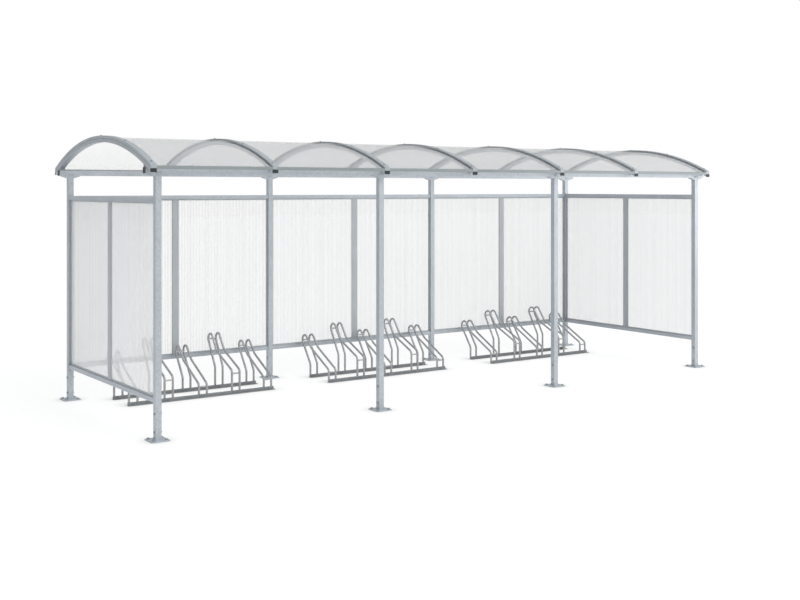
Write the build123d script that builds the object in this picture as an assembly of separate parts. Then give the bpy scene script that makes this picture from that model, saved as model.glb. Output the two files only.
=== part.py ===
from build123d import *
import math
import os

# Open-fronted bike shelter. Millimetres, X along the length, Y towards the back wall, Z up,
# origin on the ground at the centre of the whole shelter.

# ---- overall sizes -------------------------------------------------------------------------
BAYS = 3
BAY = 2110.0              # post centre to post centre along the length
DEPTH = 2072.0            # front post centre to back post centre
BEAM_BOTTOM = 2097.0      # clear height under the eaves beams

# ---- frame ---------------------------------------------------------------------------------
POST = 50.0               # square tube
POST_WALL = 2.5
BEAM = 50.0               # square tube
BEAM_WALL = 2.5
BEAM_OVERHANG = 112.0     # beam end beyond the end posts' centres, cap included
CAP_PLATE = 4.0           # visible plate of a plastic tube cap
CAP_PLUG = 18.0           # how far a cap's plug reaches into its tube
CAP_CLEARANCE = 0.3       # plug to tube wall

# ---- post feet and heads -------------------------------------------------------------------
PLATE = 150.0
PLATE_THICK = 8.0
ANCHOR_PITCH = 110.0
ANCHOR_HOLE_R = 7.0
STUB_HEIGHT = 240.0
STUB_WALL = 4.0
STUB_CLEARANCE = 0.5
HEAD_PLATE_THICK = 5.0
HEAD_REACH = 58.0         # head bracket beyond the post's face, each way along the beam
HEAD_DROP = 18.0          # depth of the sloping gussets under the head plate
HEAD_LIP = 1.0            # gusset depth at its outer tip
CHEEK_THICK = 3.0
CHEEK_RISE = 20.0         # how far the cheeks reach up the faces of the beam
SPIGOT_LENGTH = 90.0      # stub of the head inside the top of the post

# ---- roof ----------------------------------------------------------------------------------
RIB_WIDTH = 50.0
RIB_DEPTH = 28.0
RIB_WALL = 2.0
RIB_RADIUS = 2600.0       # to the underside of the ribs
RIB_REACH = 118.0         # rib end beyond the post line, cap included
RIB_INSET = 7.0           # end rib's outer face inside the beam's end
RIB_SHIFTS = (-68.0, -57.0, 0.0)  # the rib between two posts, off the middle of each bay
RIB_CAP_LIP = 2.0         # plate of a rib's cap beyond each side of the rib
SADDLE_EDGE = 3.0         # thickness of a saddle at the beam's outer edge
GASKET = 4.0
ROOF_SHEET = 10.0
SHEET_GAP = 4.0           # from a rib's centre line to the edge of a sheet
SHEET_EDGE = 4.0          # from the outer face of an end rib to the edge of the sheet
SHEET_SETBACK = 4.0       # sheet end behind the face of the eaves profile
COVER_HEIGHT = 14.0
COVER_WALL = 2.5
COVER_SETBACK = 1.0       # cover's end behind the face of the eaves profile
COVER_SCREWS = 5          # along each cover
SCREW_EDGE = 52.0         # cover's end to its last screw
SCREW_ACROSS = 13.0       # hexagon head, across its flats
SCREW_HEAD = 5.5
WASHER_R = 8.0
WASHER_THICK = 2.0
EAVES_WALL = 2.0
EAVES_LAP = 10.0          # how far the eaves profile reaches over the sheet
EAVES_FACE = 10.0         # plumb face below the underside of the sheet
EAVES_CLEARANCE = 3.0     # from the profile's end to the side of a rib's cover

# ---- walls ---------------------------------------------------------------------------------
RAIL_HEIGHT = 36.0
RAIL_DEPTH = 40.0
RAIL_WALL = 2.0
TOP_RAIL_GAP = 187.0      # from the eaves beams down to the top rails
BOTTOM_RAIL_TOP = 329.0
PANEL = 10.0
PANEL_CLEARANCE = 3.0     # panel edge to the bottom of its channel
CHANNEL_WALL = 1.5
CHANNEL_DEPTH = 14.0
CHANNEL_FIT = 0.3         # panel face to channel wall
MULLION_WIDTH = 70.0
MULLION_THICK = 14.0
MULLION_WEB = 3.0

# ---- racks ---------------------------------------------------------------------------------
RACK_SHIFTS = (50.0, 42.0, 50.0)  # each rack along the shelter, off its even place
RACK_SPACING = 30.0       # rack to rack, over the length of a bay
RACK_END = 60.0           # floor rail beyond the centre of the last holder
RACK_SETBACK = 224.0      # line of the bars' rear feet in front of the back post line
RACK_SPREAD = 372.0       # rear feet to front feet
FLOOR_RAIL_WIDTH = 40.0   # leg on the ground of an angle section
FLOOR_RAIL_HEIGHT = 30.0  # upright leg, in front of the bars
FLOOR_RAIL_WALL = 4.0
BAR_FOOT = 3.0            # end of a bar above the ground
HOLDERS = 5
HOLDER_PITCH = 346.0
HOLDER_GAUGE = 82.0       # centre to centre of a holder's two bars
BAR_R = 10.5
CROSS_BAR_R = 7.0
LOOP_R = 47.0
LOOP_SHARE = 0.99         # fillet at the loop's two corners, as a share of the loop's radius
BEND_R = 60.0
FRONT_BEND_R = 42.0
KNEE_FLARE = 25.0         # how much wider the loop's two legs are apart at the knee
RACK_ANCHOR_R = 5.5
# rear bend height, lean from upright in degrees, top of loop, knee height, front bend height,
# upper cross bar height, lower cross bar height
HIGH_HOLDER = (207.0, 31.0, 535.0, 370.0, 222.0, 470.0, 191.0)
LOW_HOLDER = (137.0, 36.0, 437.0, 307.0, 123.0, 372.0, 98.0)

# ---- worked out ----------------------------------------------------------------------------
LENGTH = BAYS * BAY
BEAM_TOP = BEAM_BOTTOM + BEAM
POST_TOP = BEAM_BOTTOM - HEAD_PLATE_THICK
BEAM_END = LENGTH / 2 + BEAM_OVERHANG
ROOF_REACH = DEPTH / 2 + RIB_REACH
BEAM_OUTER = DEPTH / 2 + BEAM / 2
BEAM_INNER = DEPTH / 2 - BEAM / 2
ARC_Z = BEAM_TOP + SADDLE_EDGE - math.sqrt(RIB_RADIUS**2 - BEAM_OUTER**2)
RIB_TOP_R = RIB_RADIUS + RIB_DEPTH
SHEET_R = RIB_TOP_R + GASKET
SHEET_TOP_R = SHEET_R + ROOF_SHEET
COVER_TOP_R = SHEET_TOP_R + COVER_HEIGHT
COVER_END = ROOF_REACH - COVER_SETBACK
RACK_REAR_Y = DEPTH / 2 - RACK_SETBACK
STUB = POST - 2 * POST_WALL - 2 * STUB_CLEARANCE
POST_XS = [-LENGTH / 2 + i * BAY for i in range(BAYS + 1)]
BAY_XS = [-LENGTH / 2 + (i + 0.5) * BAY for i in range(BAYS)]
RIB_END_X = BEAM_END - RIB_INSET - RIB_WIDTH / 2
RIBS_BETWEEN = [x + shift for x, shift in zip(BAY_XS, RIB_SHIFTS)]
RIB_XS = sorted([-RIB_END_X, RIB_END_X] + POST_XS[1:-1] + RIBS_BETWEEN)
RACK_XS = [(i - (BAYS - 1) / 2) * (BAY + RACK_SPACING) + shift for i, shift in enumerate(RACK_SHIFTS)]
RACK_LENGTH = HOLDER_PITCH * (HOLDERS - 1) + 2 * RACK_END
TOP_RAIL_TOP = BEAM_BOTTOM - TOP_RAIL_GAP
PANEL_BOTTOM = BOTTOM_RAIL_TOP
PANEL_TOP = TOP_RAIL_TOP - RAIL_HEIGHT
CUT = 1.0                 # how far a cut runs past the face that it opens


def box(x0, x1, y0, y1, z0, z1):
    """A box between two corners."""
    centre = Pos((x0 + x1) / 2, (y0 + y1) / 2, (z0 + z1) / 2)
    return centre * Box(x1 - x0, y1 - y0, z1 - z0)


def tube(x0, x1, y0, y1, z0, z1, wall, along):
    """A rectangular tube between two corners, open at both ends along one axis."""
    inset = {"x": (0, wall, wall), "y": (wall, 0, wall), "z": (wall, wall, 0)}[along]
    hollow = box(x0 + inset[0], x1 - inset[0], y0 + inset[1], y1 - inset[1], z0 + inset[2], z1 - inset[2])
    return box(x0, x1, y0, y1, z0, z1) - hollow


def arc_strip(r_low, r_high, y_low, y_high, x0, x1):
    """The part of the roof's arc between two radii, two plumb planes across and two along."""
    ring = Circle(r_high) - Circle(r_low)
    window = Pos((y_low + y_high) / 2, r_high / 2) * Rectangle(y_high - y_low, r_high)
    face = Pos(0, ARC_Z) * (ring & window)
    return extrude(Plane.YZ.offset(x0) * face, amount=x1 - x0)


def write(name, solids):
    """Save one node, of one or more separate solids."""
    shape = solids[0] if len(solids) == 1 else Compound(children=list(solids))
    export_step(shape, "parts/" + name + ".step")


# ---- frame ---------------------------------------------------------------------------------
def post(x, y):
    half = POST / 2
    return tube(x - half, x + half, y - half, y + half, PLATE_THICK, POST_TOP, POST_WALL, "z")


def post_foot(x, y):
    """Base plate with four anchor holes and the stub that stands inside the post."""
    half = PLATE / 2
    stub = STUB / 2
    foot = box(x - half, x + half, y - half, y + half, 0, PLATE_THICK)
    foot += tube(x - stub, x + stub, y - stub, y + stub, PLATE_THICK, STUB_HEIGHT, STUB_WALL, "z")
    for place in GridLocations(ANCHOR_PITCH, ANCHOR_PITCH, 2, 2):
        foot -= Pos(x, y, PLATE_THICK / 2) * place * Cylinder(ANCHOR_HOLE_R, 2 * PLATE_THICK)
    return foot


def post_head(x, y):
    """Head plate under the beam with sloping gussets, cheeks on the beam and a spigot in the post."""
    half = POST / 2
    stub = STUB / 2
    reach = half + HEAD_REACH
    head = box(x - reach, x + reach, y - half, y + half, POST_TOP, BEAM_BOTTOM)
    head += tube(x - stub, x + stub, y - stub, y + stub, POST_TOP - SPIGOT_LENGTH, POST_TOP, STUB_WALL, "z")
    for side in (-1, 1):
        cheek_y = sorted((y + side * BEAM / 2, y + side * (BEAM / 2 + CHEEK_THICK)))
        head += box(x - half, x + half, *cheek_y, POST_TOP, BEAM_BOTTOM + CHEEK_RISE)
    for side in (-1, 1):
        gusset = Polygon(
            (side * half, POST_TOP),
            (side * reach, POST_TOP),
            (side * reach, POST_TOP - HEAD_LIP),
            (side * half, POST_TOP - HEAD_DROP),
            align=None,
        )
        head += extrude(Plane.XZ.offset(-y) * Pos(x, 0) * gusset, amount=half, both=True)
    return head


def eaves_beam(y):
    half = BEAM / 2
    end = BEAM_END - CAP_PLATE
    return tube(-end, end, y - half, y + half, BEAM_BOTTOM, BEAM_TOP, BEAM_WALL, "x")


def beam_cap(side, y):
    """Plastic cap: a plate over the tube's end and a plug inside it."""
    half = BEAM / 2
    inner = half - BEAM_WALL - CAP_CLEARANCE
    end = BEAM_END - CAP_PLATE
    plate_x = sorted((side * end, side * BEAM_END))
    plug_x = sorted((side * (end - CAP_PLUG), side * end))
    mid = BEAM_BOTTOM + half
    cap = box(*plate_x, y - half, y + half, BEAM_BOTTOM, BEAM_TOP)
    return cap + box(*plug_x, y - inner, y + inner, mid - inner, mid + inner)


# ---- roof ----------------------------------------------------------------------------------
def roof_rib(x):
    half = RIB_WIDTH / 2
    end = ROOF_REACH - CAP_PLATE
    rib = arc_strip(RIB_RADIUS, RIB_TOP_R, -end, end, x - half, x + half)
    hollow = arc_strip(RIB_RADIUS + RIB_WALL, RIB_TOP_R - RIB_WALL, -end, end,
                       x - half + RIB_WALL, x + half - RIB_WALL)
    return rib - hollow


def rib_cap(x, side):
    """Plastic cap on a rib's plumb end: a plate a little wider than the rib, and a plug inside it."""
    half = RIB_WIDTH / 2
    lip = half + RIB_CAP_LIP
    inner = RIB_WALL + CAP_CLEARANCE
    end = ROOF_REACH - CAP_PLATE
    plate_y = sorted((side * end, side * ROOF_REACH))
    plug_y = sorted((side * (end - CAP_PLUG), side * end))
    cap = arc_strip(RIB_RADIUS, RIB_TOP_R, *plate_y, x - lip, x + lip)
    cap += arc_strip(RIB_RADIUS + inner, RIB_TOP_R - inner, *plug_y, x - half + inner, x + half - inner)
    return cap


def rib_saddle(x, side):
    """Wedge between the flat top of the beam and the sloping underside of the rib."""
    half = RIB_WIDTH / 2
    y0, y1 = sorted((side * BEAM_INNER, side * BEAM_OUTER))
    under = Pos(0, ARC_Z) * Circle(RIB_RADIUS)
    blank = Pos((y0 + y1) / 2, BEAM_TOP + BEAM / 2) * Rectangle(y1 - y0, BEAM)
    return extrude(Plane.YZ.offset(x - half) * (blank & under), amount=RIB_WIDTH)


def rib_gasket(x):
    half = RIB_WIDTH / 2
    end = ROOF_REACH - CAP_PLATE
    return arc_strip(RIB_TOP_R, SHEET_R, -end, end, x - half, x + half)


def roof_cover(x):
    """Clamping channel over the sheets, bent along the rib. Its ends reach down past the sheets to
    the rib's top, and over an end rib it has a lip down over the sheet's side edge."""
    half = RIB_WIDTH / 2
    inside = COVER_END - COVER_WALL
    cover = arc_strip(RIB_TOP_R, COVER_TOP_R, -COVER_END, COVER_END, x - half, x + half)
    cover -= arc_strip(RIB_TOP_R - CUT, SHEET_TOP_R, -inside, inside, x - half - CUT, x + half + CUT)
    cover -= arc_strip(SHEET_TOP_R - CUT, COVER_TOP_R - COVER_WALL, -inside, inside,
                       x - half + COVER_WALL, x + half - COVER_WALL)
    if abs(x) == RIB_END_X:
        outer = math.copysign(RIB_END_X + half, x)
        lip = sorted((outer, outer - math.copysign(COVER_WALL, x)))
        cover += arc_strip(SHEET_R, SHEET_TOP_R, -COVER_END, COVER_END, *lip)
    return cover


def screw_angles():
    """Where a cover's screws are, in degrees either way from the crown, evenly spaced."""
    last = math.degrees(math.asin((COVER_END - SCREW_EDGE) / COVER_TOP_R))
    return [last * (2 * i / (COVER_SCREWS - 1) - 1) for i in range(COVER_SCREWS)]


def cover_screw(x, angle):
    """Hexagon head on a washer, standing square to the cover."""
    washer = Pos(0, 0, WASHER_THICK / 2) * Cylinder(WASHER_R, WASHER_THICK)
    hexagon = RegularPolygon(SCREW_ACROSS / 2, 6, major_radius=False)
    head = Pos(0, 0, WASHER_THICK) * extrude(hexagon, amount=SCREW_HEAD)
    return Pos(x, 0, ARC_Z) * Rot(-angle, 0, 0) * Pos(0, 0, COVER_TOP_R) * (washer + head)


def sheet_edges(i):
    """The two edges along X of roof sheet i."""
    outer = RIB_WIDTH / 2 - SHEET_EDGE
    low = RIB_XS[i] + (-outer if i == 0 else SHEET_GAP)
    high = RIB_XS[i + 1] + (outer if i == len(RIB_XS) - 2 else -SHEET_GAP)
    return low, high


def roof_sheet(i):
    end = ROOF_REACH - SHEET_SETBACK
    return arc_strip(SHEET_R, SHEET_TOP_R, -end, end, *sheet_edges(i))


def eaves_profile(i, side):
    """Channel over the lower edge of roof sheet i, with a plumb face down to its drip edge."""
    x0 = RIB_XS[i] + RIB_WIDTH / 2 + EAVES_CLEARANCE
    x1 = RIB_XS[i + 1] - RIB_WIDTH / 2 - EAVES_CLEARANCE
    lap = sorted((side * (ROOF_REACH - EAVES_LAP), side * ROOF_REACH))
    sheet_end = sorted((side * (ROOF_REACH - 2 * EAVES_LAP), side * (ROOF_REACH - EAVES_WALL)))
    channel = arc_strip(SHEET_R - EAVES_WALL, SHEET_TOP_R + EAVES_WALL, *lap, x0, x1)
    channel -= arc_strip(SHEET_R, SHEET_TOP_R, *sheet_end, x0, x1)
    face_y = sorted((side * (ROOF_REACH - EAVES_WALL), side * ROOF_REACH))
    face_top = ARC_Z + math.sqrt(SHEET_R**2 - ROOF_REACH**2)
    return channel + box(x0, x1, *face_y, face_top - EAVES_FACE, face_top)


# ---- walls ---------------------------------------------------------------------------------
def back_rail(i, top):
    x0 = POST_XS[i] + POST / 2
    x1 = POST_XS[i + 1] - POST / 2
    y = DEPTH / 2
    return tube(x0, x1, y - RAIL_DEPTH / 2, y + RAIL_DEPTH / 2, top - RAIL_HEIGHT, top, RAIL_WALL, "x")


def end_rail(side, top):
    x = side * LENGTH / 2
    y = DEPTH / 2 - POST / 2
    return tube(x - RAIL_DEPTH / 2, x + RAIL_DEPTH / 2, -y, y, top - RAIL_HEIGHT, top, RAIL_WALL, "y")


def mullion_profile():
    """H section: two flats joined by a web, with a panel edge in each side."""
    slot = PANEL + 2 * CHANNEL_FIT
    profile = Rectangle(MULLION_WIDTH, MULLION_THICK)
    for side in (-1, 1):
        reach = (MULLION_WIDTH + MULLION_WEB) / 4 * side
        profile -= Pos(reach, 0) * Rectangle((MULLION_WIDTH - MULLION_WEB) / 2, slot)
    return profile


def mullion(x, y, turn):
    height = PANEL_TOP - PANEL_BOTTOM
    return Pos(x, y, PANEL_BOTTOM) * Rot(0, 0, turn) * extrude(mullion_profile(), amount=height)


def wall_frame(u0, u1):
    """Channels along the top, the bottom and the post side of one panel, in its own plane."""
    outer = PANEL / 2 + CHANNEL_FIT + CHANNEL_WALL
    inner = PANEL / 2 + CHANNEL_FIT
    blank = box(u0, u1, -outer, outer, PANEL_BOTTOM, PANEL_TOP)
    window = box(u0 + CHANNEL_DEPTH, u1 + CUT, -2 * outer, 2 * outer,
                 PANEL_BOTTOM + CHANNEL_DEPTH, PANEL_TOP - CHANNEL_DEPTH)
    slot = box(u0 + CHANNEL_WALL, u1 + CUT, -inner, inner,
               PANEL_BOTTOM + CHANNEL_WALL, PANEL_TOP - CHANNEL_WALL)
    return blank - window - slot


def wall_panel(u0, u1):
    seat = CHANNEL_WALL + PANEL_CLEARANCE
    return box(u0 + seat, u1, -PANEL / 2, PANEL / 2, PANEL_BOTTOM + CHANNEL_WALL, PANEL_TOP - seat)


def half_walls(make, inner, mullions, reach, turns):
    """A piece on each side of each mullion, from the inner distance out to the post's face."""
    return [Pos(x, y, 0) * Rot(0, 0, turn) * make(-reach, -inner) for x, y in mullions for turn in turns]


def back_wall(make, inner):
    return half_walls(make, inner, [(x, DEPTH / 2) for x in BAY_XS], BAY / 2 - POST / 2, (0, 180))


def end_walls(make, inner):
    mullions = [(side * LENGTH / 2, 0) for side in (-1, 1)]
    return half_walls(make, inner, mullions, DEPTH / 2 - POST / 2, (90, -90))


# ---- racks ---------------------------------------------------------------------------------
def floor_rail(x, y):
    """Angle section in front of the feet of the bars, with an anchor hole between each pair."""
    x0, x1 = x - RACK_LENGTH / 2, x + RACK_LENGTH / 2
    back = y - BAR_R
    front = back - FLOOR_RAIL_WIDTH
    rail = box(x0, x1, front, back, 0, FLOOR_RAIL_WALL)
    rail += box(x0, x1, back - FLOOR_RAIL_WALL, back, 0, FLOOR_RAIL_HEIGHT)
    anchor_y = (front + back - FLOOR_RAIL_WALL) / 2
    for anchor_x, _ in holder_places(x):
        rail -= Pos(anchor_x, anchor_y, 0) * Cylinder(RACK_ANCHOR_R, 2 * FLOOR_RAIL_HEIGHT)
    return rail


def leg_y(kind, z):
    """How far behind the rear rail the straight rear leg of a holder is at one height."""
    rear_bend, lean = kind[:2]
    return (z - rear_bend) * math.tan(math.radians(lean))


def loop_centre(kind):
    """Centre of the loop at the top of a holder, behind the rear rail and above the ground."""
    lean, top = kind[1:3]
    centre_z = top - BAR_R - LOOP_R
    return leg_y(kind, centre_z) - LOOP_R / math.cos(math.radians(lean)), centre_z


def hoop_points(kind):
    """Corners of a holder's bar, as distance behind the rear rail and height."""
    rear_bend, lean, _, knee, front_bend = kind[:5]
    back, up = LOOP_R * math.sin(math.radians(lean)), LOOP_R * math.cos(math.radians(lean))
    centre_y, centre_z = loop_centre(kind)
    knee_y = leg_y(kind, knee) - 2 * LOOP_R / math.cos(math.radians(lean)) - KNEE_FLARE
    return [
        (0, BAR_FOOT),
        (0, rear_bend),
        (centre_y + back + up, centre_z + up - back),
        (centre_y + back - up, centre_z + up + back),
        (knee_y, knee),
        (-RACK_SPREAD, front_bend),
        (-RACK_SPREAD, BAR_FOOT),
    ]


def hoop(x, kind):
    """One bent bar, from the rear rail up, over its loop and down to the front rail."""
    points = [(x, RACK_REAR_Y + y, z) for y, z in hoop_points(kind)]
    loop = LOOP_R * LOOP_SHARE
    path = FilletPolyline(*points, radius=[BEND_R, loop, loop, BEND_R, FRONT_BEND_R])
    start = Plane(origin=points[0], z_dir=(0, 0, 1))
    return sweep(start * Circle(BAR_R), path)


def rear_bar_y(kind, z):
    """Where the bar's centre line is at one height: on the rear leg, or on the loop above it."""
    centre_y, centre_z = loop_centre(kind)
    if z < centre_z - LOOP_R * math.sin(math.radians(kind[1])):
        return leg_y(kind, z)
    return centre_y + math.sqrt(LOOP_R**2 - (z - centre_z) ** 2)


def cross_bars(x, kind):
    """The two short bars between the two hoops of a holder, ending on the hoops' round sides."""
    upper, lower = kind[5:]
    bars = []
    for y, z in ((rear_bar_y(kind, upper), upper), (-RACK_SPREAD, lower)):
        bar = Pos(x, RACK_REAR_Y + y, z) * Rot(0, 90, 0) * Cylinder(CROSS_BAR_R, HOLDER_GAUGE)
        for side in (-1, 1):
            bar -= hoop(x + side * HOLDER_GAUGE / 2, kind)
        bars.append(bar)
    return bars


def holder_places(rack_x):
    """Centre and kind of each holder of one rack, low and high in turn."""
    first = rack_x - HOLDER_PITCH * (HOLDERS - 1) / 2
    return [(first + i * HOLDER_PITCH, HIGH_HOLDER if i % 2 else LOW_HOLDER) for i in range(HOLDERS)]


def main():
    os.makedirs("parts", exist_ok=True)
    lines = {"front": -DEPTH / 2, "back": DEPTH / 2}
    for line, y in lines.items():
        for i, x in enumerate(POST_XS):
            write(f"post_{line}_{i + 1}", [post(x, y)])
        write(f"post_heads_{line}", [post_head(x, y) for x in POST_XS])
        write(f"eaves_beam_{line}", [eaves_beam(y)])
    write("post_feet", [post_foot(x, y) for y in lines.values() for x in POST_XS])
    write("beam_end_caps", [beam_cap(side, y) for side in (-1, 1) for y in lines.values()])

    for i, x in enumerate(RIB_XS):
        write(f"roof_rib_{i + 1}", [roof_rib(x)])
    write("rib_end_caps", [rib_cap(x, side) for x in RIB_XS for side in (-1, 1)])
    write("rib_saddles", [rib_saddle(x, side) for x in RIB_XS for side in (-1, 1)])
    write("rib_gaskets", [rib_gasket(x) for x in RIB_XS])
    write("roof_cover_strips", [roof_cover(x) for x in RIB_XS])
    write("cover_screws", [cover_screw(x, angle) for x in RIB_XS for angle in screw_angles()])
    sheets = range(len(RIB_XS) - 1)
    for i in sheets:
        write(f"roof_sheet_{i + 1}", [roof_sheet(i)])
    write("eaves_profiles", [eaves_profile(i, side) for i in sheets for side in (-1, 1)])

    tops = (BOTTOM_RAIL_TOP, TOP_RAIL_TOP)
    in_mullion = MULLION_WEB / 2 + PANEL_CLEARANCE
    beside_mullion = MULLION_WIDTH / 2
    write("back_wall_rails", [back_rail(i, top) for i in range(BAYS) for top in tops])
    write("back_wall_mullions", [mullion(x, DEPTH / 2, 0) for x in BAY_XS])
    write("back_wall_panels", back_wall(wall_panel, in_mullion))
    write("end_wall_rails", [end_rail(side, top) for side in (-1, 1) for top in tops])
    write("end_wall_mullions", [mullion(side * LENGTH / 2, 0, 90) for side in (-1, 1)])
    write("end_wall_panels", end_walls(wall_panel, in_mullion))
    frames = back_wall(wall_frame, beside_mullion) + end_walls(wall_frame, beside_mullion)
    write("wall_channels", frames)

    rear, front = RACK_REAR_Y, RACK_REAR_Y - RACK_SPREAD
    write("rack_floor_rails", [floor_rail(x, y) for x in RACK_XS for y in (rear, front)])
    bars = []
    for i, rack_x in enumerate(RACK_XS):
        hoops = []
        for x, kind in holder_places(rack_x):
            hoops += [hoop(x + side * HOLDER_GAUGE / 2, kind) for side in (-1, 1)]
            bars += cross_bars(x, kind)
        write(f"rack_{i + 1}_hoops", hoops)
    write("rack_cross_bars", bars)


main()
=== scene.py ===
# %% [markdown]
# # A bike shelter, finished in Blender
#
# The tubes, ribs, sheets and racks come from a CAD model and already have their true sizes.
# This notebook gives them their finishes, and adds the small parts that make them believable:
# screws, bolts, nuts, washers, seals, end caps and weld beads. Everything is in metres, with X
# along the shelter, Y from the open front to the back wall, and Z up.

import bpy
import numpy as np
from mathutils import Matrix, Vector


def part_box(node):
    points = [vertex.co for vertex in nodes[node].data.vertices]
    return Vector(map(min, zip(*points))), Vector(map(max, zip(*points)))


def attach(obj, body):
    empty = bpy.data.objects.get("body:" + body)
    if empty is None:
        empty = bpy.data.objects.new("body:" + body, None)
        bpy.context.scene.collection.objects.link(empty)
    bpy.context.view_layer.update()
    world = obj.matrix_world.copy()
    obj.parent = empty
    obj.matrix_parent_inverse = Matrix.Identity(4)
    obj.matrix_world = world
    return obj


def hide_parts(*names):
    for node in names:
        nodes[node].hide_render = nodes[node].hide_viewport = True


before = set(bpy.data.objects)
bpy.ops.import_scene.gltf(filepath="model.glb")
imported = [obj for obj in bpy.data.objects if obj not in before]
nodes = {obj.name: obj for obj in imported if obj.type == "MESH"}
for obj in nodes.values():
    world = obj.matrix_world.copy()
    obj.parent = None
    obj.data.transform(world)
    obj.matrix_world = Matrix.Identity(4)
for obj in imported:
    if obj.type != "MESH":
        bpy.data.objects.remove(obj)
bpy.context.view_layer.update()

# %% [markdown]
# ## The camera
#
# The shelter is seen from its open front, thirty-five degrees round towards its left end, by
# an eye at two metres. The posts stand parallel in the view, so the camera is level, and a
# small shift puts the horizon above the middle instead of a tilt, which would lean the posts.

# %% Set up the camera
lens_data = bpy.data.cameras.new("eye")
lens_data.lens = 50.07
lens_data.sensor_width = 36.0
lens_data.shift_y = -0.1399
lens_data.clip_end = 500.0
eye = bpy.data.objects.new("eye", lens_data)
eye.location = (-6.620, -9.295, 1.983)
eye.rotation_euler = np.radians((90.0, 0.0, -35.0))
bpy.context.scene.collection.objects.link(eye)
bpy.context.scene.camera = eye
print("camera at", tuple(round(v, 3) for v in eye.location))

# %% [markdown]
# ## Node helpers
#
# The sky and every finish are node trees. They could be wired by hand each time, but a few
# steps come back in all of them, so each step has a short function: feed a socket, do one sum,
# join several conditions, and mix two shaders.

# %% Define the first helpers
def feed(tree, socket, value):
    """Set a socket to a number or a colour, or link it to another socket."""
    if isinstance(value, (int, float)):
        socket.default_value = value
    elif isinstance(value, tuple):
        socket.default_value = value + (1.0,)
    else:
        tree.links.new(value, socket)


def maths(tree, operation, first, second=0.0):
    """One Math node on two sockets or numbers. A sine needs only the first."""
    node = tree.nodes.new("ShaderNodeMath")
    node.operation = operation
    feed(tree, node.inputs[0], first)
    feed(tree, node.inputs[1], second)
    return node.outputs[0]


def either(tree, *sockets):
    """A socket that is 1 when any of the given ones is."""
    most = sockets[0]
    for socket in sockets[1:]:
        most = maths(tree, "MAXIMUM", most, socket)
    return most


def mix_shaders(tree, factor, first, second):
    """Two shaders mixed by a factor, which is a socket or a number."""
    node = tree.nodes.new("ShaderNodeMixShader")
    feed(tree, node.inputs[0], factor)
    feed(tree, node.inputs[1], first)
    feed(tree, node.inputs[2], second)
    return node.outputs[0]


print("first helpers ready")

# %% [markdown]
# ## Daylight without a sun
#
# Clear sheet and zinc look best in a wide, even light. A pale sky lights everything from all
# round, brighter overhead than at the horizon, and one very large soft lamp in front gives the
# faces of the tubes their slight difference in tone. A weaker lamp stands beyond the right-hand
# end. What the eye sees of the sky itself is plain white.

# %% Set up the sky
ZENITH, HORIZON = 1.0, 0.46
bpy.context.scene.view_settings.view_transform = "Standard"
sky = bpy.data.worlds.new("sky")
bpy.context.scene.world = sky
sky.use_nodes = True
tree = sky.node_tree
tree.nodes.clear()


def sky_light(tree, colour, strength):
    """Light of one colour from all round. Its strength is a socket or a number."""
    node = tree.nodes.new("ShaderNodeBackground")
    feed(tree, node.inputs["Color"], colour)
    feed(tree, node.inputs["Strength"], strength)
    return node.outputs[0]


direction = tree.nodes.new("ShaderNodeTexCoord")
upward = tree.nodes.new("ShaderNodeSeparateXYZ")
tree.links.new(direction.outputs["Generated"], upward.inputs[0])
height = tree.nodes.new("ShaderNodeMapRange")
height.inputs["To Min"].default_value = HORIZON
height.inputs["To Max"].default_value = ZENITH
tree.links.new(upward.outputs["Z"], height.inputs["Value"])
path = tree.nodes.new("ShaderNodeLightPath").outputs
seen = either(tree, path["Is Camera Ray"], path["Is Transmission Ray"])
both = mix_shaders(tree, seen, sky_light(tree, (0.94, 0.97, 1.0), height.outputs[0]),
                   sky_light(tree, (1.0, 1.0, 1.0), 1.0))
out = tree.nodes.new("ShaderNodeOutputWorld")
tree.links.new(both, out.inputs[0])
print("sky strength from", HORIZON, "at the horizon to", ZENITH, "overhead")

# %% Hang the two soft lamps
lamp_data = bpy.data.lights.new("soft_front", "SUN")
lamp_data.energy = 1.38
lamp_data.angle = np.radians(40.0)
lamp_data.color = (1.0, 0.985, 0.96)
lamp = bpy.data.objects.new("soft_front", lamp_data)
lamp.rotation_euler = np.radians((48.0, 0.0, 18.0))
bpy.context.scene.collection.objects.link(lamp)
panel_data = bpy.data.lights.new("soft_side", "AREA")
panel_data.shape = "RECTANGLE"
panel_data.size, panel_data.size_y = 5.0, 3.0
panel_data.energy = 92.0
panel = bpy.data.objects.new("soft_side", panel_data)
panel.location = (7.2, -5.0, 2.4)
panel.rotation_euler = np.radians((83.0, 0.0, 46.0))
bpy.context.scene.collection.objects.link(panel)
print("lamps:", lamp_data.energy, "and", panel_data.energy)

# %% [markdown]
# ## Materials
#
# Each finish starts from Object coordinates, so a pattern keeps its true size on every piece
# and stays on it. The helpers make a material, and add one node each for noise, colours and
# relief.

# %% Define the material helpers
def new_material(name, roughness, metallic=0.0):
    """A material with one Principled shader, and the tree, shader and coordinates to build on."""
    mat = bpy.data.materials.new(name)
    mat.use_nodes = True
    tree = mat.node_tree
    shader = tree.nodes["Principled BSDF"]
    shader.inputs["Roughness"].default_value = roughness
    shader.inputs["Metallic"].default_value = metallic
    place = tree.nodes.new("ShaderNodeTexCoord").outputs["Object"]
    return mat, tree, shader, place


def noise(tree, place, scale, detail):
    """Smooth cloudy noise of about 1 / scale metres."""
    node = tree.nodes.new("ShaderNodeTexNoise")
    node.inputs["Scale"].default_value = scale
    node.inputs["Detail"].default_value = detail
    tree.links.new(place, node.inputs["Vector"])
    return node.outputs["Fac"]


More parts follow.
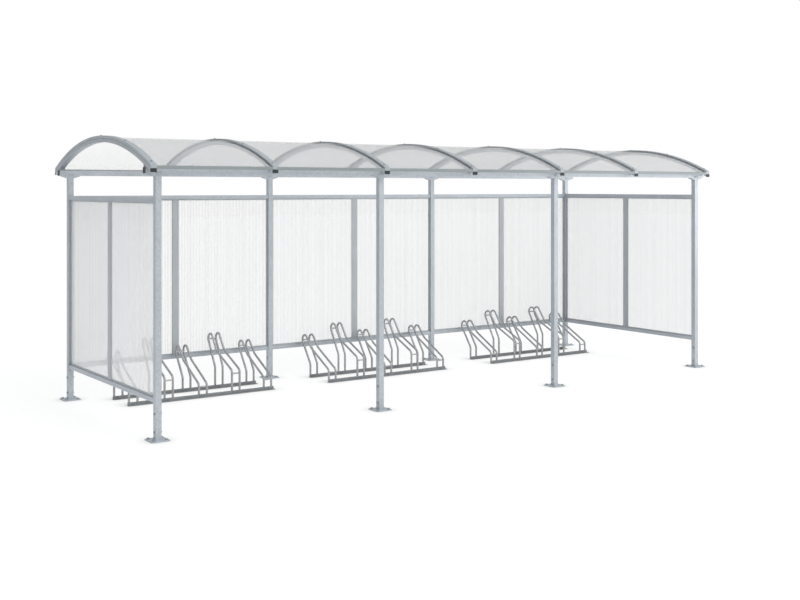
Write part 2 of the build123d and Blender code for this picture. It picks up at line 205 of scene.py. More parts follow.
def ramp(tree, factor, *stops):
    """A colour ramp through (position, colour) stops."""
    node = tree.nodes.new("ShaderNodeValToRGB")
    steps = node.color_ramp.elements
    while len(steps) < len(stops):
        steps.new(1.0)
    for step, (position, colour) in zip(steps, stops):
        step.position = position
        step.color = colour + (1.0,)
    tree.links.new(factor, node.inputs[0])
    return node.outputs[0]


def bump(tree, shader, height, strength, distance):
    """Small relief on the shader's normal."""
    node = tree.nodes.new("ShaderNodeBump")
    node.inputs["Strength"].default_value = strength
    node.inputs["Distance"].default_value = distance
    tree.links.new(height, node.inputs["Height"])
    tree.links.new(node.outputs[0], shader.inputs["Normal"])


print("material helpers ready")

# %% [markdown]
# ## Galvanised steel
#
# Steel dipped in zinc freezes into flat crystals, the spangle, each with its own grey. On
# tubes they are about a centimetre across and faint, under slow cloudy patches and a fine
# grain. A painted image would have to be unwrapped onto every tube, so the pattern is worked
# out in space: Voronoi cells give each crystal one value, and noise gives the clouds.
# Weathered zinc is matt, so most of it is only partly metallic. The ribs are nearly all metal,
# and their copy is painted lighter than the tubes, as painted light from the bright floor below
# them. The one at the left gable, seen with no sheet before it, has less of that painted light.

# %% Make the galvanised finishes
def galvanised(name, dark, light, roughness, metallic, spangle=95.0):
    """Zinc spangle between two colours, with cloudy patches and a grain in the gloss.

    spangle is the number of crystals in a metre.
    """
    mat, tree, shader, place = new_material(name, roughness, metallic)
    cells = tree.nodes.new("ShaderNodeTexVoronoi")
    cells.inputs["Scale"].default_value = spangle
    tree.links.new(place, cells.inputs["Vector"])
    crystal = tree.nodes.new("ShaderNodeSeparateColor")
    tree.links.new(cells.outputs["Color"], crystal.inputs[0])
    clouds = noise(tree, place, 3.5, 4.0)
    mixed = maths(tree, "ADD", maths(tree, "MULTIPLY", crystal.outputs[0], 0.45),
                  maths(tree, "MULTIPLY", clouds, 0.55))
    tree.links.new(ramp(tree, mixed, (0.25, dark), (0.72, light)), shader.inputs["Base Color"])
    grain = noise(tree, place, 260.0, 2.0)
    gloss = maths(tree, "ADD", maths(tree, "MULTIPLY", grain, 0.16), roughness - 0.1)
    tree.links.new(maths(tree, "ADD", gloss, maths(tree, "MULTIPLY", crystal.outputs[1], 0.08)),
                   shader.inputs["Roughness"])
    bump(tree, shader, grain, 0.12, 0.0004)
    return mat


RACK_SPANGLE, BOLT_SPANGLE = 120.0, 400.0
zinc_tube = galvanised("zinc_tube", (0.412, 0.443, 0.472), (0.510, 0.548, 0.584), 0.46, 0.60)
# Painted light: the ribs' copy of the zinc is lighter than the tubes', and the left end rib's copy
# is lighter by less.
zinc_rib_painted_light = galvanised("zinc_rib_painted_light", (0.640, 0.666, 0.688), (0.735, 0.765, 0.790), 0.36, 0.95)
zinc_end_rib = galvanised("zinc_end_rib", (0.445, 0.472, 0.500), (0.525, 0.556, 0.588), 0.40, 0.90)
zinc_rack = galvanised("zinc_rack", (0.292, 0.300, 0.306), (0.450, 0.460, 0.467), 0.34, 0.65,
                       RACK_SPANGLE)
# A darker zinc, for the floor rails, and for the rib saddles as painted shade.
dark_zinc_and_painted_shade = galvanised("dark_zinc_and_painted_shade", (0.200, 0.208, 0.215), (0.300, 0.311, 0.320), 0.48, 0.35,
                       RACK_SPANGLE)
zinc_bolt = galvanised("zinc_bolt", (0.260, 0.278, 0.292), (0.400, 0.422, 0.440), 0.38, 0.60,
                       BOLT_SPANGLE)
for zinc in (zinc_tube, zinc_rib_painted_light, zinc_end_rib, zinc_rack, dark_zinc_and_painted_shade, zinc_bolt):
    print("zinc:", zinc.name)

# %% [markdown]
# ## Drawn aluminium
#
# Cover strips, eaves profiles and glazing profiles are extruded, and the die leaves fine lines
# along their length. Noise squeezed to a hair's width across the profile and stretched along
# it gives those lines, in the colour and in the gloss.

# %% Make the aluminium finishes
DULL_METAL = 0.25


def scaled(tree, place, scale):
    """Coordinates multiplied by a scale for each axis."""
    node = tree.nodes.new("ShaderNodeMapping")
    node.inputs["Scale"].default_value = scale
    tree.links.new(place, node.inputs["Vector"])
    return node.outputs[0]


def drawn(name, colour, roughness, stretch):
    """Aluminium with die lines. stretch is the noise scale for each axis, small along them."""
    mat, tree, shader, place = new_material(name, roughness, DULL_METAL)
    lines = noise(tree, scaled(tree, place, stretch), 1.0, 4.0)
    patches = noise(tree, place, 5.0, 3.0)
    mixed = maths(tree, "ADD", maths(tree, "MULTIPLY", lines, 0.6),
                  maths(tree, "MULTIPLY", patches, 0.4))
    darker = tuple(0.86 * c for c in colour)
    lighter = tuple(min(1.0, 1.08 * c) for c in colour)
    tree.links.new(ramp(tree, mixed, (0.30, darker), (0.70, lighter)), shader.inputs["Base Color"])
    tree.links.new(maths(tree, "ADD", maths(tree, "MULTIPLY", lines, 0.2), roughness - 0.1),
                   shader.inputs["Roughness"])
    bump(tree, shader, lines, 0.10, 0.0003)
    return mat


cover_metal = drawn("cover_metal", (0.38, 0.41, 0.43), 0.42, (420.0, 6.0, 6.0))
eaves_metal = drawn("eaves_metal", (0.27, 0.295, 0.30), 0.42, (3.0, 420.0, 420.0))
glazing_metal = drawn("glazing_metal", (0.43, 0.455, 0.475), 0.45, (420.0, 420.0, 3.0))
print("aluminium:", cover_metal.name, eaves_metal.name, glazing_metal.name)

# %% [markdown]
# ## Multiwall sheet
#
# The roof and the walls are hollow clear plastic, two skins joined by thin webs, one every
# sixteen and a half millimetres. The webs show as fine flutes, upright in the walls and along
# the arch in the roof. Light passes, but is scattered on the way, so what stands behind is seen
# through a milky veil, and the veil is thicker when the sheet is seen edge on. Real webs and
# a glass shader would be slow and noisy, so the CAD sheet stays one slab, and its shader mixes
# a milky surface with plain transparency.
#
# The roof's upper skin has painted shade: a darker colour than its lower one, which darkens the
# roof where it is seen from outside. A point is on the upper skin when it is farther than the
# middle of the sheet from the axis of the roof, which lies below the top of a rib by the rib's
# inner radius and its depth.

# %% Measure the roof's arc and the flutes
FLUTE = 0.0165
RADIUS_UNDER, RIB_DEPTH = 2.600, 0.028
MID_SHEET_RADIUS = 2.637
ARC_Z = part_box("roof_rib_1")[1][2] - RADIUS_UNDER - RIB_DEPTH
print("flutes every", FLUTE, "m, axis of the roof at", round(ARC_Z, 4))

# %% Define the webs and the veil
STRAIGHT = 0.955


def blend_colours(tree, factor, first, second, kind="MIX"):
    """Two colours mixed, or multiplied, by a factor. Each may be a socket or plain."""
    node = tree.nodes.new("ShaderNodeMix")
    node.data_type = "RGBA"
    node.blend_type = kind
    for index, value in ((0, factor), (6, first), (7, second)):
        feed(tree, node.inputs[index], value)
    return node.outputs[2]


def webs(tree, place, factors):
    """The distance across the flutes, and the webs: (1/2 + sin(2 pi distance / FLUTE) / 2)^4.

    The distance is the sum of a point's coordinates, each times its factor.
    """
    across = tree.nodes.new("ShaderNodeVectorMath")
    across.operation = "DOT_PRODUCT"
    tree.links.new(place, across.inputs[0])
    across.inputs[1].default_value = factors
    turns = maths(tree, "MULTIPLY", across.outputs["Value"], 2 * np.pi / FLUTE)
    wave = maths(tree, "MULTIPLY", maths(tree, "SINE", turns), 0.5)
    return across.outputs["Value"], maths(tree, "POWER", maths(tree, "ADD", wave, 0.5), 4.0)


def straight_share(tree, across, web, slant, web_shade):
    """The share that passes unscattered: STRAIGHT square on, less slant times the glancing
    angle, less web_shade on a web, and a little more or less from one flute to the next."""
    facing = tree.nodes.new("ShaderNodeLayerWeight")
    facing.inputs["Blend"].default_value = 0.5
    slanted = maths(tree, "MULTIPLY", facing.outputs["Facing"], slant)
    through = maths(tree, "SUBTRACT", STRAIGHT, slanted)
    through = maths(tree, "SUBTRACT", through, maths(tree, "MULTIPLY", web, web_shade))
    row = tree.nodes.new("ShaderNodeCombineXYZ")
    tree.links.new(across, row.inputs[0])
    uneven = noise(tree, row.outputs[0], 17.0, 2.0)
    streak = maths(tree, "MULTIPLY", maths(tree, "SUBTRACT", uneven, 0.5), 0.8 * web_shade)
    return maths(tree, "ADD", through, streak)


print("a skin passes", STRAIGHT, "of the light unscattered")

# %% Make the sheet finishes
OUTER_SKIN_PAINTED_SHADE = (0.36, 0.365, 0.365)


def beyond(tree, place, radius):
    """1 where a point is farther than this radius from the axis of the roof, otherwise 0."""
    distance = tree.nodes.new("ShaderNodeVectorMath")
    distance.operation = "DISTANCE"
    tree.links.new(scaled(tree, place, (0.0, 1.0, 1.0)), distance.inputs[0])
    distance.inputs[1].default_value = (0.0, 0.0, ARC_Z)
    return maths(tree, "GREATER_THAN", distance.outputs["Value"], radius)


def multiwall(name, factors, slant, web_shade, web_tint, top_radius=None):
    """Milky sheet: a veil that scatters light both ways, mixed with what passes straight.

    web_tint is the colour of a web. A skin farther than top_radius from the roof's axis is the
    outer one, with painted shade: a darker colour and less glow.
    """
    mat, tree, shader, place = new_material(name, 0.22)
    across, web = webs(tree, place, factors)
    haze = noise(tree, place, 1.3, 2.0)
    tint = blend_colours(tree, web, (0.985, 0.985, 0.985), web_tint)
    veil = blend_colours(tree, haze, tint, (0.95, 0.95, 0.95), "MULTIPLY")
    skin, glow_share = veil, 0.5
    if top_radius:
        # Painted shade: the outer skin gets a darker colour and a smaller share of glow.
        outer = beyond(tree, place, top_radius)
        painted_shade_skin = blend_colours(tree, 1.0, veil, OUTER_SKIN_PAINTED_SHADE, "MULTIPLY")
        skin = blend_colours(tree, outer, veil, painted_shade_skin)
        glow_share = maths(tree, "SUBTRACT", 0.85, maths(tree, "MULTIPLY", outer, 0.35))
    tree.links.new(skin, shader.inputs["Base Color"])
    shader.inputs["Coat Weight"].default_value = 0.25
    bump(tree, shader, web, 0.25, 0.0012)
    glow = tree.nodes.new("ShaderNodeBsdfTranslucent")
    tree.links.new(veil, glow.inputs["Color"])
    clear = tree.nodes.new("ShaderNodeBsdfTransparent")
    milky = mix_shaders(tree, glow_share, shader.outputs[0], glow.outputs[0])
    through = straight_share(tree, across, web, slant, web_shade)
    tree.links.new(mix_shaders(tree, through, milky, clear.outputs[0]),
                   tree.nodes["Material Output"].inputs["Surface"])
    return mat


wall_sheet = multiwall("wall_sheet", (1.0, 1.0, 0.0), 0.53, 0.42, (0.66, 0.67, 0.67))
roof_sheet = multiwall("roof_sheet", (1.0, 0.0, 0.0), 0.35, 0.12, (0.86, 0.86, 0.86),
                       MID_SHEET_RADIUS)
print("sheets:", wall_sheet.name, roof_sheet.name)

# %% [markdown]
# ## Black plastic and rubber
#
# The tube caps are moulded, with a faint spark-eroded grain, and the seals are extruded
# rubber with a dusty bloom. The caps and the lips are nearly black, and a little noise in
# colour and gloss keeps them from looking like holes. The gaskets on the ribs are painted a
# lighter grey, as painted light over the shade beside each rib under its cover strip.

# %% Make the plastic and the rubber
def dark_matt(name, dark, light, roughness, grain):
    """A matt finish between two dark greys, with grain of about 1 / grain metres."""
    mat, tree, shader, place = new_material(name, roughness)
    speck = noise(tree, place, grain, 3.0)
    dust = noise(tree, place, 14.0, 4.0)
    mixed = maths(tree, "ADD", maths(tree, "MULTIPLY", speck, 0.4),
                  maths(tree, "MULTIPLY", dust, 0.6))
    tree.links.new(ramp(tree, mixed, (0.3, dark), (0.75, light)), shader.inputs["Base Color"])
    tree.links.new(maths(tree, "ADD", maths(tree, "MULTIPLY", speck, 0.2), roughness - 0.1),
                   shader.inputs["Roughness"])
    bump(tree, shader, speck, 0.2, 0.0003)
    return mat


PLASTIC_GRAIN, RUBBER_GRAIN = 900.0, 500.0
cap_plastic = dark_matt("cap_plastic", (0.016, 0.018, 0.021), (0.036, 0.039, 0.043), 0.45,
                        PLASTIC_GRAIN)
seal_rubber = dark_matt("seal_rubber", (0.050, 0.053, 0.054), (0.095, 0.100, 0.100), 0.70,
                        RUBBER_GRAIN)
# Painted light: the gaskets are a lighter grey than the rubber, to lift the shade under the cover
# strips.
gasket_rubber = dark_matt("gasket_rubber", (0.180, 0.185, 0.190), (0.250, 0.255, 0.260), 0.70,
                          RUBBER_GRAIN)
print("dark finishes:", cap_plastic.name, seal_rubber.name, gasket_rubber.name)

# %% [markdown]
# ## Finishes on the CAD nodes
#
# A node's mesh stays as it is. Only its material changes, by the first part of its name.

# %% Dress the nodes
FINISHES = {
    "post_": zinc_tube, "eaves_beam": zinc_tube, "back_wall_rails": zinc_tube,
    "end_wall_rails": zinc_tube, "roof_rib": zinc_rib_painted_light, "roof_rib_1": zinc_end_rib,
    # The rib saddles wear the darker zinc as painted shade, for the shade in the wedge under each
    # rib.
    "rack_": zinc_rack, "rack_floor_rails": dark_zinc_and_painted_shade, "rib_saddles": dark_zinc_and_painted_shade,
    "cover_screws": zinc_bolt, "roof_cover": cover_metal, "eaves_profiles": eaves_metal,
    "back_wall_mullions": glazing_metal, "end_wall_mullions": glazing_metal,
    "wall_channels": glazing_metal, "roof_sheet": roof_sheet, "back_wall_panels": wall_sheet,
    "end_wall_panels": wall_sheet, "beam_end_caps": cap_plastic, "rib_end_caps": cap_plastic,
    "rib_gaskets": gasket_rubber,
}


def finish_for(name):
    """The finish whose key is the longest start of this node's name."""
    return FINISHES[max((key for key in FINISHES if name.startswith(key)), key=len)]


for name, node in nodes.items():
    node.data.materials.clear()
    node.data.materials.append(finish_for(name))
print("dressed", len(nodes), "nodes")

# %% [markdown]
# ## Shapes as arrays
#
# Every added piece is worked out as whole arrays of points. Most are a row of closed rings
# with the same number of points, joined by four-sided faces. The first shape is a turned one:
# a profile of radii and heights carried round an axis in equal steps. With six steps it is a
# hexagon head, with more it is a washer or a stud. Another helper sets many copies of a shape
# at many places in one go, because a shelter needs the same bolt again and again.

# %% Define the turned shapes
def skin_of_rings(rings, steps):
    """Faces over a row of rings of equal steps, with a face on the first and on the last.

    Face (i, j) joins points j and j + 1 of ring i to the same two of ring i + 1.
    """
    i, j = np.meshgrid(np.arange(rings - 1), np.arange(steps), indexing="ij")
    k = (j + 1) % steps
    sides = np.stack([i * steps + j, i * steps + k, (i + 1) * steps + k, (i + 1) * steps + j], -1)
    ring = np.arange(steps)
    ends = [ring[::-1].tolist(), ((rings - 1) * steps + ring).tolist()]
    return sides.reshape(-1, 4).tolist() + ends


def turned(profile, steps):
    """Points and faces of a profile [(radius, height), ...] carried round Z, closed at both ends.

    Point (i, j) is (r_i cos a_j, r_i sin a_j, h_i), with a_j equal steps of the full circle.
    """
    r, h = np.array(profile, float).T
    a = 2 * np.pi * np.arange(steps) / steps
    points = np.stack([np.outer(r, np.cos(a)), np.outer(r, np.sin(a)),
                       np.outer(h, np.ones(steps))], -1)
    return points.reshape(-1, 3), skin_of_rings(len(r), steps)


def merged(shapes):
    """Several (points, faces) shapes as one."""
    points, faces, start = [], [], 0
    for p, f in shapes:
        points.append(p)
        faces += [[start + n for n in face] for face in f]
        start += len(p)
    return np.concatenate(points), faces


print("turned shapes ready")

# %% Define the copies and the pieces
def frames_along(axes):
    """A right-handed frame for each axis, its third column along the axis."""
    z = axes / np.linalg.norm(axes, axis=1, keepdims=True)
    side = np.where(np.abs(z[:, 2:]) > 0.9, [[1.0, 0.0, 0.0]], [[0.0, 0.0, 1.0]])
    x = np.cross(side, z)
    x /= np.linalg.norm(x, axis=1, keepdims=True)
    return np.stack([x, np.cross(z, x), z], -1)


def copies(shape, places, axes):
    """The shape set at each place, its Z turned to each axis: point = place + frame times point."""
    points, faces = shape
    places, axes = np.atleast_2d(places).astype(float), np.atleast_2d(axes).astype(float)
    axes = np.broadcast_to(axes, places.shape)
    spread = places[:, None, :] + np.einsum("nij,vj->nvi", frames_along(axes), points)
    count = len(points)
    faces = [[n * count + v for v in face] for n in range(len(places)) for face in faces]
    return spread.reshape(-1, 3), faces


SHARP_FROM = np.radians(35.0)


def add_piece(name, shape, mat):
    """Put a shape into the scene as one piece that rides on the shelter."""
    points, faces = shape
    mesh = bpy.data.meshes.new(name)
    mesh.from_pydata(points.tolist(), [], faces)
    mesh.materials.append(mat)
    mesh.shade_smooth()
    mesh.set_sharp_from_angle(angle=SHARP_FROM)
    piece = bpy.data.objects.new(name, mesh)
    bpy.context.scene.collection.objects.link(piece)
    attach(piece, "root")
    print(f"{name}: {len(points)} points, {len(faces)} faces")
    return piece


print("edges sharper than", round(np.degrees(SHARP_FROM)), "degrees stay hard")

# %% [markdown]
# ## Bolts
#
# One bolt is a washer, a hexagon with chamfered corners, and for a nut the end of its stud.
# Sizes follow the thread: the hexagon is about 1.6 threads across its flats and 0.65 high. The
# shelter has about a hundred and seventy bolts and screws, so each is a few turned rings.

# %% Define the bolt shapes
WASHER_RADIUS, WASHER_THICK = 1.05, 0.18
ACROSS_FLATS, HEAD_HEIGHT, NUT_HEIGHT = 1.62, 0.65, 0.80


def hexagon(across, height, base):
    """A hexagon prism with its top corners chamfered."""
    r = across / np.sqrt(3.0)
    return turned([(r, base), (r, base + 0.82 * height), (0.86 * r, base + height)], 6)


def washer(radius, thick):
    """A flat disc with a broken edge, standing on Z = 0."""
    edge = 0.25 * thick
    return turned([(radius - edge, 0.0), (radius, edge), (radius, thick - edge),
                   (radius - edge, thick)], 20)


def stud(radius, low, high):
    """The end of a thread, with its crests as small rings and a chamfered tip."""
    turns = max(2, int((high - low) / (0.35 * radius)))
    h = np.linspace(low, high - 0.25 * radius, 2 * turns)
    r = np.where(np.arange(len(h)) % 2, radius, 0.90 * radius)
    return turned([*zip(r, h), (0.72 * radius, high)], 12)


def bolt_head(thread):
    """A washer with a hexagon head on it, standing on Z = 0."""
    thick = WASHER_THICK * thread
    return merged([washer(WASHER_RADIUS * thread, thick),
                   hexagon(ACROSS_FLATS * thread, HEAD_HEIGHT * thread, thick)])


def nut_on_stud(thread, proud):
    """A washer, a nut and the stud end that stands out of it by a given length."""
    thick, height = WASHER_THICK * thread, NUT_HEIGHT * thread
    return merged([washer(WASHER_RADIUS * thread, thick),
                   hexagon(ACROSS_FLATS * thread, height, thick),
                   stud(0.5 * thread, thick + height, thick + height + proud)])


M6, M8, M10, M12 = 0.006, 0.008, 0.010, 0.012
print("M10 head:", len(bolt_head(M10)[0]), "points")

# %% [markdown]
# ## Base plates
#
# Each post stands on a square plate held by four anchors in the foundation, and is clamped to
# the stub inside it by two bolts that pass through it along the shelter. A smaller bolt near
# its top, on the side towards the back, holds it to the spigot of its bracket. The bolts are
# placed from the boxes of the posts, so they stay on them if a post moves.

# %% Measure the posts
posts = np.array([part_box(f"post_{line}_{i}") for line in ("front", "back") for i in (1, 2, 3, 4)])
centres = posts.mean(1)
half_post = (posts[0, 1, 0] - posts[0, 0, 0]) / 2
plate_top, post_top = posts[0, 0, 2], posts[0, 1, 2]
print(len(posts), "posts, each", round(2 * half_post, 4), "m wide")

# %% Bolt down the posts
ANCHOR_REACH = 0.055
FOOT_BOLTS, NUT_PROUD = (0.065, 0.210), 0.004
HEAD_BOLT_DROP = 0.042
UP, ALONG, BACKWARDS = np.eye(3)[[2, 0, 1]]
corners = ANCHOR_REACH * np.array([(sx, sy) for sx in (-1, 1) for sy in (-1, 1)])
anchor_xy = (centres[:, None, :2] + corners).reshape(-1, 2)


def at_height(xy, z):
    """A place at the height z over each point in plan."""
    return np.column_stack([xy, np.full(len(xy), z)])


def through_bolts(heights):
    """Heads on one side and nuts on the other, through every post at the given heights."""
    at = np.concatenate([at_height(centres[:, :2], z) for z in heights])
    heads = copies(bolt_head(M10), at - half_post * ALONG, -ALONG)
    nuts = copies(nut_on_stud(M10, NUT_PROUD), at + half_post * ALONG, ALONG)
    return merged([heads, nuts])


head_bolt_places = at_height(centres[:, :2], post_top - HEAD_BOLT_DROP) + half_post * BACKWARDS
add_piece("post_anchors", copies(bolt_head(M12), at_height(anchor_xy, plate_top), UP), zinc_bolt)
add_piece("post_foot_bolts", through_bolts(FOOT_BOLTS), zinc_bolt)
add_piece("post_head_bolts", copies(bolt_head(M8), head_bolt_places, BACKWARDS), zinc_bolt)

# %% [markdown]
# ## Head brackets
#
# A bracket on top of each post holds the beam between two cheeks, low plates that stand up
# against its sides. Two small bolts go through each cheek into the beam. The box of a line of
# brackets ends at the outer faces of its cheeks, so it says where the heads sit.

# %% Bolt the cheeks to the beams
CHEEK_BOLT_REACH, CHEEK_BOLT_DROP = 0.013, 0.010
bolt_x = np.add.outer(centres[:4, 0], (-CHEEK_BOLT_REACH, CHEEK_BOLT_REACH)).ravel()


def on_cheeks(y, top):
    """A place at each side of the middle of each cheek, on its face at y, just below its top."""
    return at_height(np.column_stack([bolt_x, np.full(len(bolt_x), y)]), top - CHEEK_BOLT_DROP)


cheek_bolts = []
for line in ("front", "back"):
    low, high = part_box(f"post_heads_{line}")
    cheek_bolts += [copies(bolt_head(M6), on_cheeks(y, high[2]), side * BACKWARDS)
                    for y, side in ((low[1], -1), (high[1], 1))]
add_piece("cheek_bolts", merged(cheek_bolts), zinc_bolt)

# %% [markdown]
# ## Weld beads
#
# A weld is a bead that swells where the welder paused and tapers off where it starts and ends.
# Each bar of a rack is held by two of them, upright in the corners between its round side and
# the back of the floor rail. A plain cylinder would look too even, so a bead is turned from
# a radius that ripples.

# %% Define the seam
def seam(radius, length, ripples=7, rows=29):
    """A rippled bead along Z, turned from r(t) = radius (1 + 0.12 |sin(ripples pi t)|) for t from
    0 to 1, with its ends drawn in by the factor (1 - (2 t - 1)^12)^(1/2)."""
    t = np.linspace(0.0, 1.0, rows)
    r = radius * (1.0 + 0.12 * np.abs(np.sin(ripples * np.pi * t)))
    r = np.maximum(r * np.sqrt(1.0 - (2 * t - 1) ** 12), 0.3 * radius)
    return turned([*zip(r, length * t)], 10)


BEAD, BEAD_LENGTH = 0.0030, 0.022
bead = seam(BEAD, BEAD_LENGTH)
print("one bead:", len(bead[0]), "points")

# %% [markdown]
# ## The racks
#
# Each holder is a pair of bent bars, and their feet stand behind two floor rails, which are
# steel angles with one leg on the ground. The bars' places are found from the CAD boxes: the
# rails give the two lines, and the holders are spaced evenly along them. Between the two bars
# of each holder an anchor goes down through the leg on the ground.

# %% Find the bars of the racks
HOLDERS, HOLDER_PITCH, HOLDER_GAUGE = 5, 0.346, 0.082
RAIL_LEG, RAIL_WALL = 0.040, 0.004
rails_low, rails_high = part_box("rack_floor_rails")
rail_backs = (rails_high[1], rails_low[1] + RAIL_LEG)
rack_centres = [np.mean(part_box(f"rack_{i}_hoops"), 0)[0] for i in (1, 2, 3)]
steps = HOLDER_PITCH * (np.arange(HOLDERS) - (HOLDERS - 1) / 2)
holder_x = np.add.outer(rack_centres, steps).ravel()
bar_x = np.add.outer(holder_x, (-HOLDER_GAUGE / 2, HOLDER_GAUGE / 2)).ravel()


def behind_rails(x, back, z):
    """A place at each x, at a distance behind the back of both rails' upright legs."""
    x = np.asarray(x).ravel()
    return np.concatenate([np.column_stack([x, np.full(len(x), y + back), np.full(len(x), z)])
                           for y in rail_backs])


print(len(holder_x), "holders,", len(bar_x), "bars")

# %% Weld and bolt the racks
BEAD_FOOT, BEAD_ASIDE, BEAD_BEHIND = 0.005, 2.2 * BEAD, 0.6 * BEAD
bead_x = np.add.outer(bar_x, (-BEAD_ASIDE, BEAD_ASIDE))
seams = copies(bead, behind_rails(bead_x, BEAD_BEHIND, BEAD_FOOT), UP)
add_piece("rack_foot_welds", seams, zinc_rack)
anchor_spots = behind_rails(holder_x, -(RAIL_LEG + RAIL_WALL) / 2, RAIL_WALL)
add_piece("rack_anchors", copies(bolt_head(M10), anchor_spots, UP), zinc_bolt)

# %% [markdown]
# ## Arcs of the roof
#
# The roof is part of a cylinder, and all its layers share one axis. Each layer's own radius is
# the height of its crown, which its box gives, above that axis.

# %% Measure the arcs
_, cover_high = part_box("roof_cover_strips")
cover_reach, cover_radius = cover_high[1], cover_high[2] - ARC_Z
sheet_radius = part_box("roof_sheet_1")[1][2] - ARC_Z
rib_x = np.array([np.mean(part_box(f"roof_rib_{i}"), 0)[0] for i in range(1, 8)])
print("cover radius", round(cover_radius, 4), "sheet radius", round(sheet_radius, 4))


def on_arc(x, y, radius):
    """Points at x and y on the arc of a radius: z = centre + sqrt(radius² - y²)."""
    x, y = np.broadcast_arrays(np.asarray(x, float), np.asarray(y, float))
    return np.stack([x, y, ARC_Z + np.sqrt(radius**2 - y**2)], -1)


# %% [markdown]
# ## Screws and seals of the cover strips
#
# A cover strip clamps the sheets to its rib with self-drilling screws, each on a washer with
# a rubber face, and rests on the sheets on two rubber lips. The lips are a quarter-round
# profile carried along the arc, and they draw a thin dark line beside each strip. At an end rib
# the strip has no lip on the outer side, because no sheet lies there.

# %% Fit the screws
SCREWS, SCREW_EDGE = 5, 0.052
DISC_RADIUS, DISC_THICK = 0.0080, 0.0020
SCREW_FLATS, SCREW_HEIGHT = 0.0130, 0.0055
disc = turned([(DISC_RADIUS, 0.0), (DISC_RADIUS, 0.7 * DISC_THICK),
               (0.9 * DISC_RADIUS, DISC_THICK)], 20)
screw = merged([disc, hexagon(SCREW_FLATS, SCREW_HEIGHT, DISC_THICK)])
last_screw = np.arcsin((cover_reach - SCREW_EDGE) / cover_radius)
angles = np.linspace(-last_screw, last_screw, SCREWS)
spots = on_arc(rib_x[:, None], cover_radius * np.sin(angles), cover_radius).reshape(-1, 3)
outwards = (spots - (0.0, 0.0, ARC_Z)) * (0.0, 1.0, 1.0)
screw_set = add_piece("screw_set", copies(screw, spots, outwards), zinc_bolt)
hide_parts("cover_screws")

# %% Lay the rubber lips
LIP, LIP_SUNK = 0.0014, 0.0002
COVER_HALF, LIP_SETBACK = 0.025, 0.030


def lip(x, side, reach, steps=96, rows=6):
    """A quarter-round bead along the arc, on the sheet beside a cover strip.

    Point (u, v) is at arc angle u. Its section is x + side LIP sin v across, and the sheet's
    radius + LIP cos v, for v from 90 to 0 degrees, closed a little below the sheet's face.
    """
    last = np.arcsin(reach / sheet_radius)
    u = np.linspace(-last, last, steps)
    v = np.radians(np.linspace(90.0, 0.0, rows))
    across = np.concatenate([[0.0], LIP * np.sin(v), [0.0]])
    r = sheet_radius + np.concatenate([[-LIP_SUNK], LIP * np.cos(v), [-LIP_SUNK]])
    points = np.stack([np.broadcast_to(x + side * across, (steps, len(r))),
                       np.outer(np.sin(u), r), ARC_Z + np.outer(np.cos(u), r)], -1)
    faces = skin_of_rings(steps, len(r))
    if side > 0:
        faces = [face[::-1] for face in faces]
    return points.reshape(-1, 3), faces


lips = [lip(x + side * COVER_HALF, side, cover_reach - LIP_SETBACK)
        for x in rib_x for side in (-1, 1) if abs(x + side * COVER_HALF) < abs(rib_x[0]) + LIP]
add_piece("cover_lips", merged(lips), seal_rubber)

# %% [markdown]
# ## Moulded end caps
#
# A tube cap is a plate with rounded corners, a soft outer edge and a shallow dish. Its outline
# is a rectangle whose corners are quarter circles. A box with a bevel would have no dish, so
# rings of that outline step over the soft edge, across the rim and down into the dish.

# %% Define the cap
def rounded_outline(half_w, half_h, corner, per_corner=6):
    """For each point round a rounded rectangle, the centre of its corner and the way outwards.

    The outline is centre + radius times direction, so an inset is only a smaller radius.
    """
    a = np.radians(np.linspace(0.0, 90.0, per_corner))
    a = np.concatenate([a + q * np.pi / 2 for q in range(4)])
    sx = np.repeat([1, -1, -1, 1], per_corner) * (half_w - corner)
    sy = np.repeat([1, 1, -1, -1], per_corner) * (half_h - corner)
    return np.stack([sx, sy], -1), np.stack([np.cos(a), np.sin(a)], -1)


def moulded_cap(half_w, half_h, thick, corner=0.005):
    """Rings of a rounded outline: plate edge, rounded shoulder, flat rim and shallow dish."""
    centre, outward = rounded_outline(half_w, half_h, corner)
    soft, rim, slope, dish = 0.0014, 0.0042, 0.0006, 0.0011
    rings = [(0.0, 0.0), (0.0, thick - soft), (-0.3 * soft, thick - 0.3 * soft), (-soft, thick),
             (-rim, thick), (-rim - slope, thick - dish)]
    rows = [np.column_stack([centre + (corner + inset) * outward, np.full(len(centre), z)])
            for inset, z in rings]
    return np.concatenate(rows), skin_of_rings(len(rings), len(centre))


BEAM_HALF, RIB_HALF, RIB_CORNER, PLATE = 0.025, 0.027, 0.004, 0.004
beam_cap = moulded_cap(BEAM_HALF, BEAM_HALF, PLATE)
print("one beam cap:", len(beam_cap[0]), "points")

# %% Fit the caps
SIDES = (-1, 1)
cap_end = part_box("beam_end_caps")[1][0] - PLATE
beams = [np.array(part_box(f"eaves_beam_{line}")) for line in ("front", "back")]
beam_ends = np.array([(side * cap_end, *beam.mean(0)[1:]) for beam in beams for side in SIDES])
beam_axes = np.array([(side, 0.0, 0.0) for _ in beams for side in SIDES])
beam_caps = add_piece("beam_caps", copies(beam_cap, beam_ends, beam_axes), cap_plastic)
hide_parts("beam_end_caps")

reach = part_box("rib_end_caps")[1][1]
layers = RADIUS_UNDER + RIB_DEPTH * np.array([0.0, 0.5, 1.0])
under_z, middle_z, top_z = on_arc(0.0, np.full(3, reach), layers)[:, 2]
rib_ends = np.array([(x, side * (reach - PLATE), middle_z) for x in rib_x for side in SIDES])
rib_axes = np.array([(0.0, side, 0.0) for _ in rib_x for side in SIDES])
rib_cap = moulded_cap(RIB_HALF, (top_z - under_z) / 2, PLATE, RIB_CORNER)
rib_caps = add_piece("rib_caps", copies(rib_cap, rib_ends, rib_axes), cap_plastic)
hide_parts("rib_end_caps")

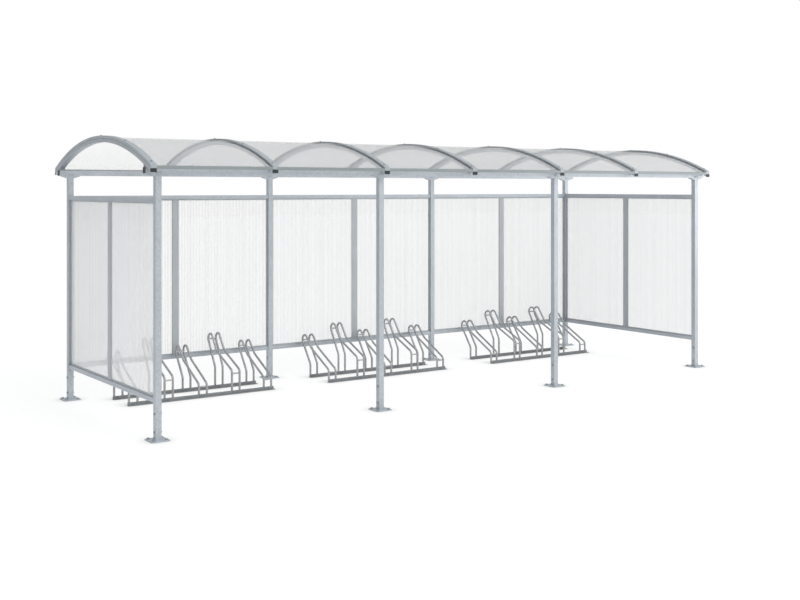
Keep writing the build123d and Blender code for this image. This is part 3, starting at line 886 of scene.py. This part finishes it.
# %% [markdown]
# ## Beam fixings
#
# Each rib is drawn down to the eaves beam by a bolt through the beam's outer face, under the
# middle of the rib and a little above the middle of the face.

# %% Fit the beam fixings
BOLT_UP = 0.005
beam_z = beams[0].mean(0)[2] + BOLT_UP
front_face, back_face = beams[0][0][1], beams[1][1][1]
places = np.array([(x, y, beam_z) for y in (front_face, back_face) for x in rib_x])
directions = np.repeat([(0.0, -1.0, 0.0), (0.0, 1.0, 0.0)], len(rib_x), axis=0)
add_piece("rib_fixings", copies(bolt_head(M8), places, directions), zinc_bolt)

# %% [markdown]
# ## The floor
#
# The floor is a plain white sheet. Four fifths of what the eye sees of it is a white of its
# own, with painted shade that darkens it close to whatever stands on it, and a fifth is lit, so
# it keeps a faint shadow under the shelter.

# %% Lay the floor
FLOOR_HALF, FLOOR_Z = 60.0, -0.001
CONTACT_REACH, OWN_WHITE = 0.18, 0.80
floor_mesh = bpy.data.meshes.new("floor")
floor_mesh.from_pydata([(sx * FLOOR_HALF, sy * FLOOR_HALF, FLOOR_Z)
                        for sx, sy in ((-1, -1), (1, -1), (1, 1), (-1, 1))], [], [(0, 1, 2, 3)])
floor = bpy.data.objects.new("floor", floor_mesh)
bpy.context.scene.collection.objects.link(floor)
floor_mat, tree, shader, _ = new_material("floor_white", 0.9)
shader.inputs["Base Color"].default_value = (0.96, 0.96, 0.96, 1.0)
shader.inputs["Specular IOR Level"].default_value = 0.0
# Painted shade: ambient occlusion darkens the floor's own white close to whatever stands on it.
contact_painted_shade = tree.nodes.new("ShaderNodeAmbientOcclusion")
contact_painted_shade.inputs["Distance"].default_value = CONTACT_REACH
near = maths(tree, "MULTIPLY", maths(tree, "POWER", contact_painted_shade.outputs["AO"], 1.7), 1.02)
white = tree.nodes.new("ShaderNodeEmission")
tree.links.new(near, white.inputs["Strength"])
path = tree.nodes.new("ShaderNodeLightPath").outputs
seen = either(tree, path["Is Camera Ray"], path["Is Glossy Ray"], path["Is Transmission Ray"])
own_share = maths(tree, "MULTIPLY", seen, OWN_WHITE)
tree.links.new(mix_shaders(tree, own_share, shader.outputs[0], white.outputs[0]),
               tree.nodes["Material Output"].inputs["Surface"])
floor_mesh.materials.append(floor_mat)
print("floor laid")
